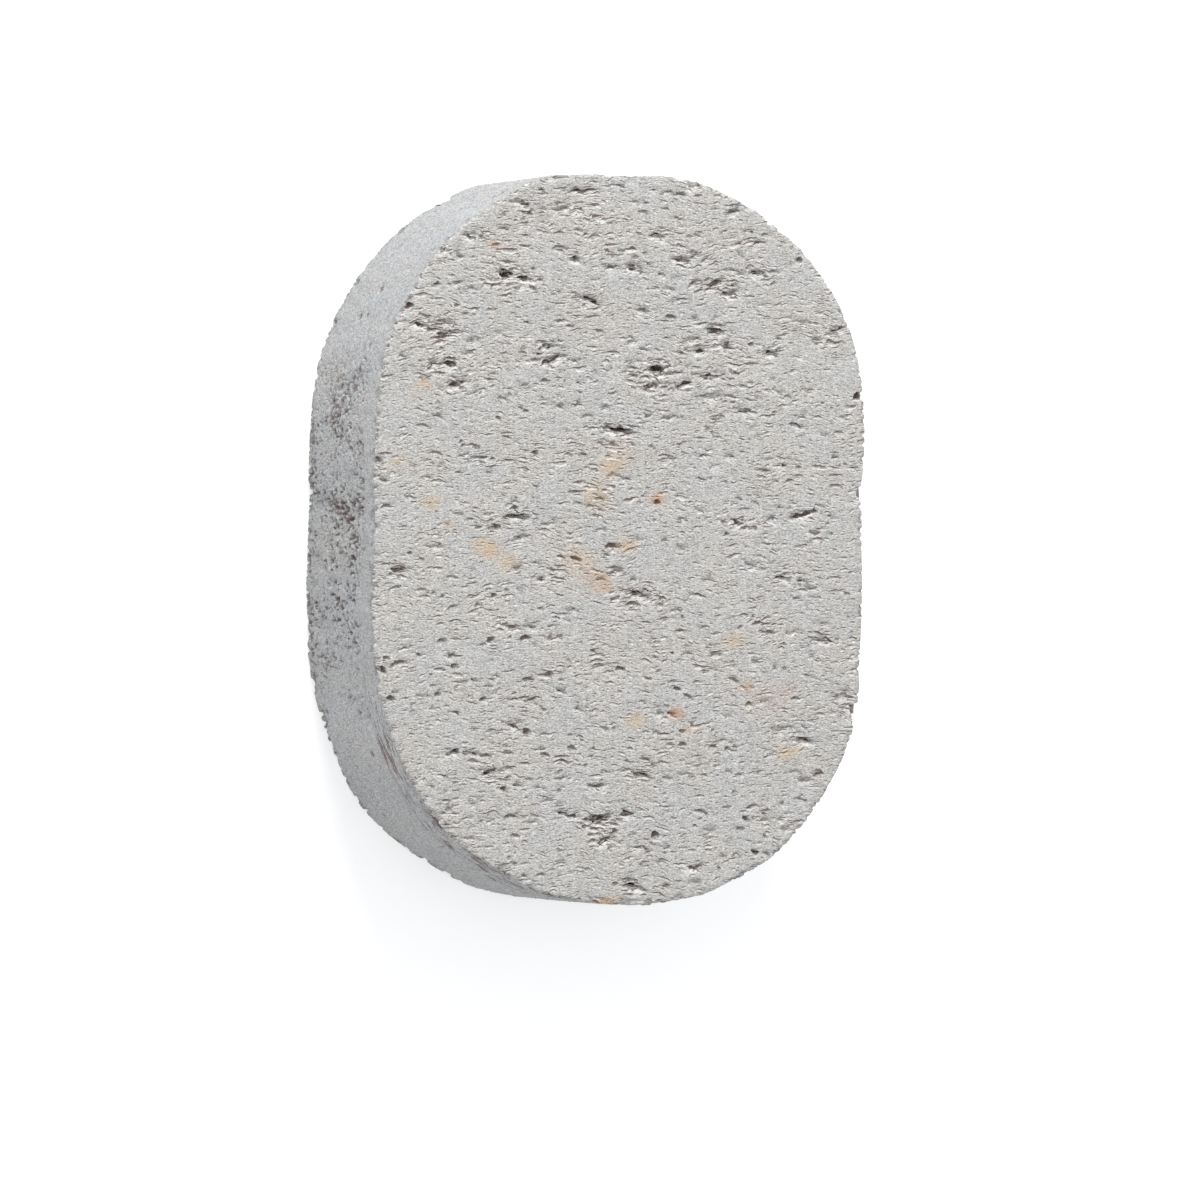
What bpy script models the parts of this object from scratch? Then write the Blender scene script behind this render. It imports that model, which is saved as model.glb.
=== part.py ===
"""A bath pumice stone: one oval slab sawn from a block of volcanic froth, lying on its back face.

Metres, +Z up. The long way of the oval lies along Y. When the froth froze its bubbles were drawn out along
X, so the two sawn faces and the ends cut them lengthways, as slits, and the two long sides cut them across,
as small round holes.
"""

import math
import random

import bmesh
import bpy
from mathutils import Matrix, Vector, noise

MM = 0.001

# Driving dimensions of the slab.
LENGTH = 95.0 * MM
WIDTH = 69.0 * MM
THICKNESS = 26.0 * MM

# The rubbed edge where a sawn face meets the side: how far it is worn back and down.
EDGE_WEAR = 0.35 * MM

# How many steps the rim takes, and the heights of its rings as shares of the side between the worn edges.
RIM_STEPS = 140
SIDE_RINGS = (0.0, 0.32, 0.66, 1.0)

# Roughness of the ground side: size of the lumps, and how far they stand in or out.
SIDE_LUMP = 2.6 * MM
SIDE_RELIEF = 0.22 * MM
LONG_WAVE = 11.0 * MM
LONG_RELIEF = 0.25 * MM

# The rim, seen on the upper face, in millimetres from the middle of the slab, anticlockwise from the middle
# of the right side: straight long sides, round ends, a blunt top between two slight corners.
RIM_POINTS = [
    (34.2, 0.0), (34.3, 7.0), (34.6, 13.5), (34.3, 20.1), (33.4, 24.6), (31.7, 29.1), (29.3, 33.5),
    (26.2, 37.5), (22.3, 40.9), (18.0, 43.9), (13.2, 46.0), (8.8, 47.4), (2.4, 47.7), (-5.0, 47.7),
    (-10.8, 47.2), (-15.3, 45.1), (-21.6, 41.1), (-25.8, 36.8), (-29.6, 31.4), (-32.4, 25.6),
    (-33.6, 19.8), (-34.3, 11.5), (-34.5, 2.0), (-34.6, -10.0), (-33.9, -18.4), (-31.9, -25.3),
    (-28.8, -32.0), (-24.8, -37.5), (-18.1, -42.5), (-10.7, -46.1), (-3.0, -47.4), (2.6, -47.7),
    (8.0, -47.2), (13.2, -45.9), (22.4, -40.6), (29.1, -33.0), (33.0, -24.4), (34.1, -13.0),
]

# The larger slits on the upper face, from top to bottom, in millimetres and degrees:
# (x, y, length along the grain, height across it, how much the right end rises).
SLITS = [
    # The upper end, near the rim.
    (-5.3, 45.0, 3.8, 0.7, 2), (-13.7, 43.4, 2.8, 0.6, -8), (15.6, 42.5, 2.4, 0.9, 20),
    (2.3, 43.7, 1.6, 0.7, 0), (4.3, 45.1, 1.2, 0.6, 0), (6.0, 42.9, 2.4, 0.6, -4),
    (-8.2, 42.7, 2.6, 0.6, -6), (4.9, 39.3, 3.9, 0.6, 0), (16.7, 38.7, 1.5, 0.6, 8),
    (19.3, 38.6, 2.3, 0.7, 3), (16.5, 37.2, 2.0, 0.6, -28), (-22.6, 39.8, 1.5, 0.7, 12),
    (-21.0, 38.9, 1.6, 0.9, -30), (-22.3, 36.4, 1.9, 0.8, -16), (-24.4, 37.0, 1.5, 0.8, 46),
    # Round the big hollow on the upper left and the row across to the right.
    (-16.0, 34.2, 2.6, 1.3, -22), (-13.4, 33.6, 2.6, 0.9, -4), (-14.2, 32.3, 1.9, 0.6, -12),
    (-15.8, 35.7, 1.6, 0.5, -6), (-25.7, 32.6, 2.0, 0.9, 14), (-22.0, 33.0, 3.2, 0.5, 6),
    (-20.6, 32.1, 2.6, 0.5, 2), (-6.4, 36.2, 1.5, 1.1, -10), (-1.7, 35.1, 2.0, 0.7, 8),
    (1.8, 35.2, 2.3, 1.0, -10), (8.6, 36.2, 2.8, 0.7, -6), (11.6, 36.2, 1.8, 0.8, 8),
    (15.0, 35.1, 1.6, 0.5, -4), (18.8, 34.7, 2.5, 1.0, -16), (10.1, 33.2, 1.8, 0.8, 38),
    (12.9, 33.1, 2.6, 1.0, 26), (15.1, 31.9, 2.7, 0.7, 16), (6.9, 32.5, 3.0, 0.5, -8),
    (-4.3, 30.9, 3.5, 0.7, -20), (-8.4, 30.4, 2.2, 0.6, 10), (-4.8, 28.6, 1.5, 0.6, 4),
    (2.9, 29.7, 1.3, 0.8, 0), (10.3, 28.6, 2.0, 0.6, 14), (13.2, 29.0, 1.6, 0.5, 12),
    (20.1, 30.6, 1.7, 0.5, 0), (25.6, 28.5, 1.9, 0.7, -6), (-16.8, 26.5, 1.2, 0.7, 4),
    # The feather on the left and the arch below it.
    (-27.2, 28.7, 2.1, 0.6, -22), (-27.5, 27.4, 2.7, 0.9, -4), (-24.2, 27.6, 3.0, 0.5, 3),
    (-24.1, 26.2, 3.9, 0.9, 16), (-20.3, 25.6, 2.2, 0.8, 16), (-21.0, 23.9, 2.5, 0.5, 0),
    (-20.2, 23.0, 1.4, 0.5, 4), (-26.1, 22.1, 2.3, 0.9, 34), (-23.5, 22.4, 2.8, 0.8, -10),
    (-26.3, 20.6, 1.8, 0.5, 12), (-22.8, 19.8, 4.1, 0.7, 14), (-20.3, 18.8, 1.2, 0.6, 0),
    (-9.6, 23.1, 2.7, 0.9, 26), (-6.7, 23.0, 2.3, 0.6, -6), (-12.0, 23.1, 1.6, 0.6, 8),
    (-9.9, 24.9, 3.0, 0.6, 0), (-8.6, 17.0, 2.0, 0.8, -16), (-10.7, 17.9, 2.0, 0.5, 4),
    (-5.8, 17.6, 1.7, 0.7, -10),
    # The broken ground on the upper right.
    (13.2, 27.0, 3.4, 0.9, -4), (9.8, 25.9, 2.0, 0.7, 12), (12.4, 25.7, 1.6, 0.5, 0),
    (14.8, 25.2, 2.2, 1.0, -20), (10.9, 24.5, 2.2, 1.0, 10), (20.6, 24.3, 2.8, 0.8, -18),
    (30.2, 27.2, 2.6, 0.7, 22), (27.6, 26.2, 2.2, 0.6, 8), (1.2, 25.5, 1.4, 0.7, 35),
    (1.6, 23.1, 3.6, 0.5, -4), (1.8, 22.2, 2.4, 0.5, 3), (2.0, 21.2, 2.4, 0.7, 16),
    (4.9, 21.9, 2.7, 1.5, -6), (11.9, 21.2, 2.4, 1.2, -4), (8.9, 20.0, 2.8, 0.7, 28),
    (4.2, 19.8, 2.6, 0.7, 6), (21.2, 20.9, 1.6, 0.7, 14), (26.5, 19.5, 1.7, 0.7, 14),
    (21.6, 19.4, 2.0, 0.5, -4), (19.3, 18.4, 1.6, 0.5, -8), (12.6, 18.5, 4.4, 0.6, 0),
    (17.1, 16.6, 3.2, 0.8, 8), (31.1, 16.0, 1.9, 0.6, -8), (24.9, 14.8, 2.6, 0.6, -14),
    (28.4, 13.6, 2.2, 0.5, -18), (18.3, 14.7, 1.9, 0.5, 2), (12.9, 13.5, 1.2, 0.7, 0),
    (6.8, 15.9, 3.0, 0.5, 8), (-5.6, 20.2, 2.0, 0.6, -30), (-2.1, 16.9, 1.2, 0.7, 0),
    (-0.4, 14.0, 5.0, 0.9, -12),
    # The middle, which is closer grained.
    (20.8, 10.5, 1.7, 0.6, 14), (22.8, 9.5, 1.7, 0.9, -6), (32.5, 9.4, 2.4, 0.8, 6),
    (15.2, 10.8, 2.8, 0.5, 4), (12.9, 9.7, 2.4, 0.5, 6), (-19.4, 10.4, 3.4, 0.6, -4),
    (-0.9, 8.2, 2.8, 0.6, -8), (-33.4, 10.1, 2.2, 1.0, -20), (-32.7, 7.6, 2.1, 0.7, -12),
    (-17.5, 1.5, 1.3, 1.0, 0), (-14.4, 2.8, 4.3, 0.8, -6), (-10.5, 2.0, 2.3, 0.7, -10),
    (-13.8, 0.2, 2.3, 0.8, 8), (4.7, 2.5, 1.8, 0.7, -12), (10.9, 3.9, 1.7, 0.5, -6),
    (16.3, 2.1, 2.6, 0.7, -12), (20.6, 2.6, 1.8, 0.7, 6), (25.6, 3.3, 4.4, 0.8, 14),
    (27.2, 0.8, 1.3, 0.7, -6), (29.3, 0.8, 1.7, 0.5, -10), (26.4, -0.3, 1.9, 0.5, 4),
    (8.3, -1.1, 1.8, 0.6, -14), (-26.2, -1.0, 2.2, 0.6, 6), (18.2, -3.4, 2.4, 0.8, 0),
    (20.7, -3.1, 1.6, 0.5, -10), (22.3, -5.0, 2.8, 0.8, -10), (24.9, -5.2, 1.6, 0.6, -20),
    (26.8, -6.3, 2.8, 0.6, 2), (-0.8, -4.2, 2.8, 0.6, 6), (-14.1, -3.8, 2.6, 0.5, -4),
    (-10.9, -5.1, 2.2, 0.7, 6), (-13.9, -6.5, 1.5, 0.6, -8), (-1.0, -7.8, 1.9, 0.9, 10),
    (2.8, -7.2, 3.3, 0.9, -8), (5.3, -8.5, 1.3, 0.8, -30), (-30.8, -4.1, 2.6, 0.8, 4),
    (-24.5, -7.4, 2.2, 0.6, 8), (-6.8, -9.2, 2.0, 0.6, -8), (-15.1, -11.3, 2.4, 0.9, -8),
    (-12.6, -11.3, 2.0, 0.7, -4), (-9.9, -12.7, 1.2, 1.0, 0), (-12.1, -13.5, 1.9, 0.6, -4),
    (28.4, -13.1, 3.2, 0.7, -8), (28.1, -10.9, 2.0, 0.6, -4), (21.1, -12.1, 2.2, 0.7, 4),
    (24.0, -12.1, 1.8, 0.6, -12), (8.8, -12.8, 2.0, 0.5, 6), (12.5, -13.6, 1.3, 0.6, -20),
    (-31.2, -11.6, 1.8, 0.6, 6), (-29.6, -14.0, 1.8, 0.6, -14), (-23.5, -15.0, 1.5, 0.8, -4),
    # The lower third, where the grain opens again.
    (18.9, -15.8, 2.5, 0.8, -24), (21.4, -16.6, 1.8, 0.6, -30), (-21.8, -18.4, 1.8, 0.7, -4),
    (-19.9, -18.2, 1.4, 0.7, 4), (-17.1, -17.7, 1.5, 0.8, -10), (-17.6, -19.8, 1.3, 0.6, 6),
    (-8.3, -19.6, 2.5, 0.8, -10), (-14.8, -20.5, 2.0, 0.6, 22), (-12.4, -20.9, 2.4, 1.0, -10),
    (-5.6, -21.9, 1.2, 0.8, 0), (14.7, -22.7, 2.0, 0.6, 0), (20.2, -21.1, 1.8, 0.6, 2),
    (31.1, -20.4, 2.5, 0.8, 16), (5.4, -22.6, 1.6, 0.7, -58), (7.2, -22.6, 1.6, 0.7, 14),
    (9.8, -24.2, 1.1, 0.7, 0), (22.8, -24.6, 4.2, 0.7, 10), (25.7, -26.2, 3.0, 0.8, -14),
    (16.2, -26.9, 1.5, 0.7, 0), (20.0, -27.2, 2.4, 0.5, -22), (13.9, -29.0, 2.2, 0.5, -14),
    (11.0, -28.6, 1.8, 0.5, -8), (-2.4, -24.5, 1.2, 0.9, 40), (-14.9, -24.1, 2.3, 0.7, -18),
    (-11.0, -27.0, 1.7, 0.6, 10), (-22.9, -27.4, 2.8, 0.9, 10), (-20.0, -27.7, 2.0, 1.0, 8),
    (-18.3, -30.1, 2.6, 0.7, 18), (-4.1, -28.0, 2.0, 0.6, 4), (-1.9, -30.0, 2.2, 0.6, 2),
    (0.4, -29.9, 1.4, 0.5, 4), (2.9, -30.6, 3.4, 0.6, -4), (6.4, -30.8, 2.2, 0.6, 2),
    (-14.3, -31.7, 1.7, 0.8, 6), (-11.4, -31.9, 1.7, 0.6, 6), (-8.9, -30.9, 1.9, 0.5, 0),
    (-3.3, -31.9, 2.6, 0.8, 12), (19.2, -30.2, 1.3, 0.6, 14), (25.4, -31.3, 1.9, 0.7, 0),
    # The lower end.
    (-23.7, -34.7, 1.4, 0.7, 12), (-24.0, -36.7, 1.3, 0.6, 8), (-7.5, -35.6, 3.2, 0.8, -16),
    (-2.9, -36.3, 4.2, 1.0, 20), (1.0, -35.5, 1.9, 1.0, -28), (-2.4, -39.0, 2.9, 0.8, 34),
    (-12.3, -36.5, 1.7, 0.6, 20), (4.9, -38.3, 1.9, 1.2, 0), (2.0, -39.8, 2.6, 0.6, 0),
    (22.6, -34.4, 1.3, 0.6, -8), (23.4, -35.7, 2.4, 0.7, 12), (23.1, -37.6, 2.6, 0.6, 6),
    (17.9, -35.0, 1.5, 0.6, 20), (20.1, -36.5, 1.9, 0.6, 2), (12.4, -37.7, 1.8, 0.6, 0),
    (-20.9, -38.4, 2.3, 0.6, -4), (15.5, -39.4, 1.9, 0.5, -10), (18.9, -40.6, 1.3, 1.0, 0),
    (16.6, -41.2, 1.5, 0.5, 0), (5.4, -41.9, 1.5, 0.6, 0), (10.2, -42.7, 2.8, 0.7, 14),
    (10.3, -44.5, 2.4, 0.6, -8), (1.6, -45.0, 3.0, 0.9, -12), (-13.8, -42.1, 1.6, 0.5, 0),
]

# Chips knocked from the edges: (x, y, z, length along the rim, height up the side) in millimetres.
CHIPS = [
    (34.6, 6.2, 25.6, 3.8, 1.6), (-34.7, 6.6, 0.5, 3.6, 1.5), (-34.7, -2.8, 0.6, 3.0, 1.3),
    (-34.6, -12.6, 0.5, 2.8, 1.4), (10.2, 47.0, 25.6, 2.6, 1.2), (33.3, -22.4, 25.6, 3.2, 1.4),
]

UNDERSIDE_SLITS = 74
SIDE_HOLES = 84

# Sizes that the seeded bubbles are drawn from, in millimetres, and how far one may lie off the grain.
SLIT_LENGTHS = (1.5, 4.2)
SLIT_HEIGHTS = (0.6, 1.1)
HOLE_WIDTHS = (0.8, 1.6)
GRAIN_WANDER = math.radians(14)

# An opened bubble: its depth for its height, the share of its mouth that its floor keeps, how far the
# floor lies back under the upper lip, and how far the cutter stands clear of the surface, in millimetres.
DEPTH_FOR_HEIGHT = 1.25
FLOOR_SHARE = 0.42
LEAN_BACK = 0.45
CLEAR_ABOVE = 0.7

# Bubbles longer than this, in millimetres, have eight sides and the rest have six.
LARGE_BUBBLE = 2.5

# Solid ground left between two bubbles, the least distance from a bubble to an edge of the slab, and the
# plain patch kept at the middle of the underside, in millimetres.
LEDGE = 0.25
EDGE_MARGIN = 1.8
RESTING_PATCH = 7.0

STONE_GREY = (0.51, 0.49, 0.46, 1.0)


def clear_scene():
    for thing in list(bpy.data.objects):
        bpy.data.objects.remove(thing, do_unlink=True)


def curve_through(points, steps):
    """Points at equal steps along the smooth closed curve through the given points."""
    fine = []
    count = len(points)
    for index in range(count):
        before, start, end, after = (Vector(points[(index + k) % count]) for k in (-1, 0, 1, 2))
        for part in range(16):
            t = part / 16
            bend = (end - before) * t
            bend += (2 * before - 5 * start + 4 * end - after) * t * t
            bend += (3 * start - before - 3 * end + after) * t ** 3
            fine.append(start + bend / 2)
    spans = [(fine[(k + 1) % len(fine)] - fine[k]).length for k in range(len(fine))]
    step = sum(spans) / steps
    placed = []
    walked = 0.0
    for point, following, span in zip(fine, fine[1:] + fine[:1], spans):
        while len(placed) < steps and len(placed) * step < walked + span:
            placed.append(point.lerp(following, (len(placed) * step - walked) / span))
        walked += span
    return placed


def outward(rim, index):
    """The direction square to the rim at one of its points, pointing away from the stone."""
    along = (rim[(index + 1) % len(rim)] - rim[index - 1]).normalized()
    return Vector((along.y, -along.x))


def ground_side(point, facing, height):
    """A rim point at a height on the side, set in or out by the lumps that grinding left."""
    spot = Vector((point.x, point.y, height))
    lump = SIDE_RELIEF * noise.noise(spot / SIDE_LUMP)
    wave = LONG_RELIEF * noise.noise(spot / LONG_WAVE + Vector((9.0, 4.0, 2.0)))
    moved = point + facing * (lump + wave)
    return Vector((moved.x, moved.y, height))


def slab():
    """The plain sawn slab: stacked rings round the rim, bridged, with a flat face at each end."""
    rim = [point * MM for point in curve_through(RIM_POINTS, RIM_STEPS)]
    facings = [outward(rim, index) for index in range(RIM_STEPS)]
    side = THICKNESS - 2 * EDGE_WEAR
    levels = [(0.0, EDGE_WEAR)]
    levels += [(EDGE_WEAR + share * side, 0.0) for share in SIDE_RINGS]
    levels += [(THICKNESS, EDGE_WEAR)]
    mesh = bmesh.new()
    rings = []
    for height, inset in levels:
        ring = []
        for point, facing in zip(rim, facings):
            worn = inset * (1.0 + 0.7 * noise.noise(Vector((point.x, point.y, height)) / SIDE_LUMP))
            ring.append(mesh.verts.new(ground_side(point - facing * worn, facing, height)))
        edges = [mesh.edges.new((ring[k - 1], ring[k])) for k in range(RIM_STEPS)]
        rings.append((ring, edges))
    for (_, lower), (_, upper) in zip(rings, rings[1:]):
        bmesh.ops.bridge_loops(mesh, edges=lower + upper)
    mesh.faces.new(rings[0][0])
    mesh.faces.new(rings[-1][0])
    fit_to_size(mesh)
    bmesh.ops.recalc_face_normals(mesh, faces=mesh.faces)
    return mesh


def fit_to_size(mesh):
    """Centre the slab on the origin and bring its width and length to the driving dimensions."""
    xs = [vert.co.x for vert in mesh.verts]
    ys = [vert.co.y for vert in mesh.verts]
    middle = Vector(((min(xs) + max(xs)) / 2, (min(ys) + max(ys)) / 2, 0.0))
    bmesh.ops.translate(mesh, vec=-middle, verts=mesh.verts)
    scale = Vector((WIDTH / (max(xs) - min(xs)), LENGTH / (max(ys) - min(ys)), 1.0))
    bmesh.ops.scale(mesh, vec=scale, verts=mesh.verts)


def add_bubble(mesh, place, length, height, lean, draw):
    """One opened bubble in the cutter, in millimetres: an uneven oval funnel whose mouth lies in the local
    XY plane of the place, with its floor below and moved across by the lean. A small one ends in a point."""
    large = length > LARGE_BUBBLE
    sides = 8 if large else 6
    floor = FLOOR_SHARE if large else 0.0
    depth = height * DEPTH_FOR_HEIGHT * draw.uniform(0.8, 1.2)
    flare = 1.0 + (1.0 - floor) * CLEAR_ABOVE / depth
    uneven = [draw.uniform(0.8, 1.2) for _ in range(sides)]
    funnel = bmesh.ops.create_cone(
        mesh,
        cap_ends=True,
        segments=sides,
        radius1=floor / 2,
        radius2=flare / 2,
        depth=1.0,
    )["verts"]
    for vert in funnel:
        corner = round(math.atan2(vert.co.y, vert.co.x) * sides / math.tau) % sides
        vert.co.x *= length * uneven[corner]
        vert.co.y *= height * uneven[corner]
        vert.co.z = CLEAR_ABOVE if vert.co.z > 0.0 else -depth
        vert.co.y -= lean * vert.co.z
    bmesh.ops.transform(mesh, matrix=Matrix.Scale(MM, 4) @ place, verts=funnel)


def clear_of(bubbles, spot, length, height):
    """True where a bubble leaves a ledge between itself and those already placed."""
    for other, other_length, other_height in bubbles:
        along = (spot.x - other.x) / ((length + other_length) / 2 + LEDGE)
        across = (spot.y - other.y) / ((height + other_height) / 2 + LEDGE)
        down = (spot.z - other.z) / (height + other_height)
        if along * along + across * across + down * down < 1.0:
            return False
    return True


def inside_rim(rim, spot, margin):
    """True where a point of the face is inside the rim by at least the margin."""
    inside = False
    for start, end in zip(rim, rim[1:] + rim[:1]):
        if (start.y > spot.y) != (end.y > spot.y):
            if spot.x < start.x + (spot.y - start.y) / (end.y - start.y) * (end.x - start.x):
                inside = not inside
        if (spot.xy - start).length < margin:
            return False
    return inside


def face_bubble(mesh, bubbles, spot, length, height, rise, draw):
    """A slit opened by a sawn face, with its floor lying back under the lip on its +Y side."""
    place = Matrix.Translation(spot) @ Matrix.Rotation(rise, 4, "Z")
    lean = LEAN_BACK
    if spot.z < THICKNESS / MM / 2:
        place @= Matrix.Rotation(math.pi, 4, "X")
        lean = -LEAN_BACK
    add_bubble(mesh, place, length, height, lean, draw)
    bubbles.append((spot, length, height))


def seeded_underside(mesh, bubbles, rim, draw):
    """Scatter slits over the underside, clear of each other and of a plain patch at its middle."""
    half_width = WIDTH / MM / 2
    half_length = LENGTH / MM / 2
    made = 0
    while made < UNDERSIDE_SLITS:
        x = draw.uniform(-half_width, half_width)
        y = draw.uniform(-half_length, half_length)
        spot = Vector((x, y, 0.0))
        length = draw.uniform(*SLIT_LENGTHS)
        height = draw.uniform(*SLIT_HEIGHTS)
        rise = draw.uniform(-GRAIN_WANDER, GRAIN_WANDER)
        if spot.xy.length < RESTING_PATCH or not inside_rim(rim, spot, EDGE_MARGIN):
            continue
        if clear_of(bubbles, spot, length, height):
            face_bubble(mesh, bubbles, spot, length, height, rise, draw)
            made += 1


def seeded_side(mesh, bubbles, rim, draw):
    """Open bubbles round the side. They lie along X, so a mouth is round on the long sides and drawn out
    along the rim where the side turns to face the ends, and there are fewer of them there."""
    top = THICKNESS / MM
    made = 0
    while made < SIDE_HOLES:
        index = draw.randrange(len(rim))
        facing = outward(rim, index)
        if abs(facing.x) < draw.uniform(0.1, 1.0):
            continue
        spot = Vector((rim[index].x, rim[index].y, draw.uniform(EDGE_MARGIN, top - EDGE_MARGIN)))
        height = draw.uniform(*HOLE_WIDTHS)
        length = min(height / abs(facing.x), SLIT_LENGTHS[1])
        if clear_of(bubbles, spot, length, height):
            place = Matrix.Translation(spot) @ side_frame(facing)
            add_bubble(mesh, place, length, height, 0.0, draw)
            bubbles.append((spot, length, height))
            made += 1


def side_frame(facing):
    """The turn that lays a bubble's mouth on the side: local Z points out, and local X runs along the rim."""
    out = Vector((facing.x, facing.y, 0.0))
    up = Vector((0.0, 0.0, 1.0))
    return Matrix((up.cross(out), up, out)).transposed().to_4x4()


def bubbles_cutter():
    """All the opened bubbles and the chips, as one cutter."""
    draw = random.Random(1883)
    rim = curve_through(RIM_POINTS, RIM_STEPS)
    top = THICKNESS / MM
    mesh = bmesh.new()
    bubbles = []
    for x, y, length, height, rise in SLITS:
        face_bubble(mesh, bubbles, Vector((x, y, top)), length, height, math.radians(rise), draw)
    for x, y, z, length, height in CHIPS:
        spot = Vector((x, y, z))
        place = Matrix.Translation(spot) @ side_frame(spot.xy.normalized())
        add_bubble(mesh, place, length, height, 0.0, draw)
        bubbles.append((spot, length, height))
    seeded_underside(mesh, bubbles, rim, draw)
    seeded_side(mesh, bubbles, rim, draw)
    cutter = as_object(mesh, "bubble_cutter")
    cutter.hide_render = True
    cutter.display_type = "WIRE"
    return cutter


def as_object(mesh, name):
    data = bpy.data.meshes.new(name)
    mesh.to_mesh(data)
    mesh.free()
    thing = bpy.data.objects.new(name, data)
    bpy.context.scene.collection.objects.link(thing)
    return thing


def stone_material():
    """Dry, chalky, pale grey glass froth."""
    material = bpy.data.materials.new("pumice")
    material.use_nodes = True
    shader = material.node_tree.nodes["Principled BSDF"]
    shader.inputs["Base Color"].default_value = STONE_GREY
    shader.inputs["Roughness"].default_value = 0.95
    shader.inputs["Metallic"].default_value = 0.0
    return material


def pumice_stone():
    stone = as_object(slab(), "pumice_stone")
    stone.data.materials.append(stone_material())
    cut = stone.modifiers.new("opened bubbles", "BOOLEAN")
    cut.operation = "DIFFERENCE"
    cut.solver = "EXACT"
    cut.use_self = True
    cut.object = bubbles_cutter()


clear_scene()
pumice_stone()
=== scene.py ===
import math

import bmesh
import bpy
import numpy as np
from mathutils import Matrix, Vector, noise


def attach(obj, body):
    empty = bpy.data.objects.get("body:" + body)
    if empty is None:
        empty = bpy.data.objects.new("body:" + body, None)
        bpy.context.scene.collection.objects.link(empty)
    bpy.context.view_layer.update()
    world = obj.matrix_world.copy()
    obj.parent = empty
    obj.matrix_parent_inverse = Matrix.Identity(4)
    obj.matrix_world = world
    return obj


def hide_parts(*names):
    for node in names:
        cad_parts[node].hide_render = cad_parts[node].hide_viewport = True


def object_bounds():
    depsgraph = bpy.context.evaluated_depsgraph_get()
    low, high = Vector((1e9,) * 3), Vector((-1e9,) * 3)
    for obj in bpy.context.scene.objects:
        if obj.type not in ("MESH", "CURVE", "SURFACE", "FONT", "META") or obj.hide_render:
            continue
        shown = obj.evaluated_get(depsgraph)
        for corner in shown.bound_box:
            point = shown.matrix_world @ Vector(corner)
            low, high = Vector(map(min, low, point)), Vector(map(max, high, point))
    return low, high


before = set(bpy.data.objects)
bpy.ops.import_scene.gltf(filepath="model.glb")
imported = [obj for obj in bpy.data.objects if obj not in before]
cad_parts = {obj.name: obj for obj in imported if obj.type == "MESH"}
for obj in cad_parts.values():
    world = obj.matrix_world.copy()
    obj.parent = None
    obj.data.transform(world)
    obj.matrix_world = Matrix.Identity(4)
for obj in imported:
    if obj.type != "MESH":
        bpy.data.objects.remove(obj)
cad_low, cad_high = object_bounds()


# ---------------------------------------------------------------------------------------------------------
# The sawn slab. The real one is a thick tile of frozen volcanic froth: two faces left by the saw, a rim
# ground by hand, and its large bubbles standing open. Here it is the solid's own form, wrapped in an even
# skin that is fine enough to be torn, pitted and chipped by the sections below.

MM = 0.001
SKIN = 0.14 * MM
SAME_PLACE = 0.0001 * MM

slab = bmesh.new()
slab.from_mesh(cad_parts["pumice_stone"].data)
bmesh.ops.remove_doubles(slab, verts=slab.verts, dist=SAME_PLACE)
stone = bpy.data.objects.new("pumice_slab", bpy.data.meshes.new("pumice_slab"))
slab.to_mesh(stone.data)
slab.free()
bpy.context.scene.collection.objects.link(stone)


def settle(piece):
    """Make the piece's modifiers part of its mesh."""
    held = bpy.context.evaluated_depsgraph_get()
    finished = bpy.data.meshes.new_from_object(piece.evaluated_get(held))
    piece.modifiers.clear()
    piece.data = finished


skin = stone.modifiers.new("even skin", "REMESH")
skin.mode = "VOXEL"
skin.voxel_size = SKIN
skin.adaptivity = 0.0
settle(stone)


def read_points(piece):
    places = np.empty(len(piece.data.vertices) * 3, np.float32)
    piece.data.vertices.foreach_get("co", places)
    return places.reshape(-1, 3).astype(float)


points = read_points(stone)


# ---------------------------------------------------------------------------------------------------------
# The three sawn and ground surfaces, as rules that say how far under them a point lies. The froth is the
# same all through, so everything below is told apart only by which of the three it has been opened from.

BEARINGS, STOREYS = 240, 26
RIM_BLUR = 2


def rim_cell(places):
    """Where each place stands on the rim's map: its bearing and its height, counted in cells."""
    bearing = np.arctan2(places[:, 1], places[:, 0])
    height = (places[:, 2] - cad_low.z) / (cad_high.z - cad_low.z)
    return (bearing + math.pi) / (2 * math.pi) * BEARINGS, height * STOREYS


turns, storeys = rim_cell(points)
cells = turns.astype(int) % BEARINGS, np.clip(storeys.astype(int), 0, STOREYS - 1)
rim_reach = np.zeros((BEARINGS, STOREYS))
np.maximum.at(rim_reach, cells, np.hypot(points[:, 0], points[:, 1]))
rim_mean = sum(np.roll(rim_reach.mean(axis=1), step) for step in range(-RIM_BLUR, RIM_BLUR + 1))
rim_mean /= 2 * RIM_BLUR + 1
rim_slope = (np.roll(rim_mean, -1) - np.roll(rim_mean, 1)) / (4 * math.pi / BEARINGS)


def around(values, turns):
    """A value kept for each bearing, read at any bearing."""
    return np.interp(turns - 0.5, np.arange(BEARINGS), values, period=BEARINGS)


def reach_at(places):
    """How far the rim stands from the stone's middle line, at the bearing and height of each place."""
    turns, storeys = rim_cell(places)
    storeys = np.clip(storeys - 0.5, 0, STOREYS - 1.001)
    below = storeys.astype(int)
    part = storeys - below
    left = np.floor(turns - 0.5).astype(int)
    way = turns - 0.5 - left
    left, right = left % BEARINGS, (left + 1) % BEARINGS
    lower = rim_reach[left, below] * (1 - way) + rim_reach[right, below] * way
    upper = rim_reach[left, below + 1] * (1 - way) + rim_reach[right, below + 1] * way
    return lower * (1 - part) + upper * part


def under_surfaces(places):
    """How far each place lies under the upper face, the underside and the rim, in mm."""
    from_rim = reach_at(places) - np.hypot(places[:, 0], places[:, 1])
    return np.stack((cad_high.z - places[:, 2], places[:, 2] - cad_low.z, from_rim), axis=1) / MM


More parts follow.
